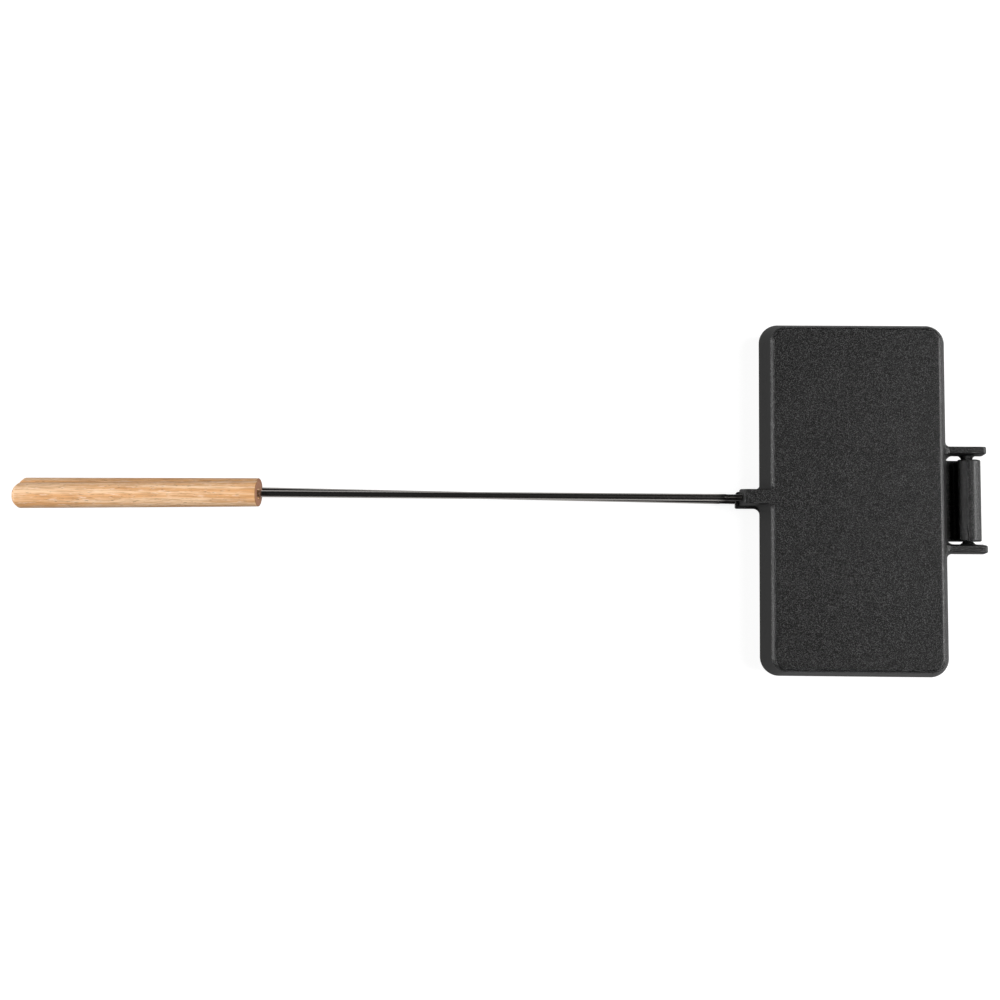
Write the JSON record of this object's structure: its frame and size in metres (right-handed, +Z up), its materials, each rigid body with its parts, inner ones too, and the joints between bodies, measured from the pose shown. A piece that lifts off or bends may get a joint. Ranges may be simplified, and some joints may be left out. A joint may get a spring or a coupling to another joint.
{
  "type": "pie iron",
  "caption": "Long-handled cast-iron pie iron: paired rectangular pans hook together at one end and close over the food, each on a slim steel rod with a turned wooden handle.",
  "frame": {"origin": "centre of the bottom pan's flat outer face, which the closed iron rests on", "axes": "+Z up through the closed pans; +X from the pans towards the hinge, so the rods and handles run towards -X; +Y across the pans, along the hinge axis"},
  "size_m": [0.7005, 0.2524, 0.038],
  "materials": {
    "cast_iron": "seasoned, fine sand-cast grain",
    "rod_steel": "drawn, darkened",
    "handle_wood": "turned and sanded, bare"
  },
  "bodies": {
    "bottom_half": {"bottom_pan": "cast_iron", "bottom_rod": "rod_steel", "bottom_handle": "handle_wood"},
    "top_half": {"top_pan": "cast_iron", "top_rod": "rod_steel", "top_handle": "handle_wood"}
  },
  "joints": [
    {"name": "hinge", "type": "hinge", "parent": "bottom_half", "child": "top_half", "pos_m": [0.0818, 0, 0.019], "axis": [0, 1, 0], "range_deg": [0, 180]}
  ]
}
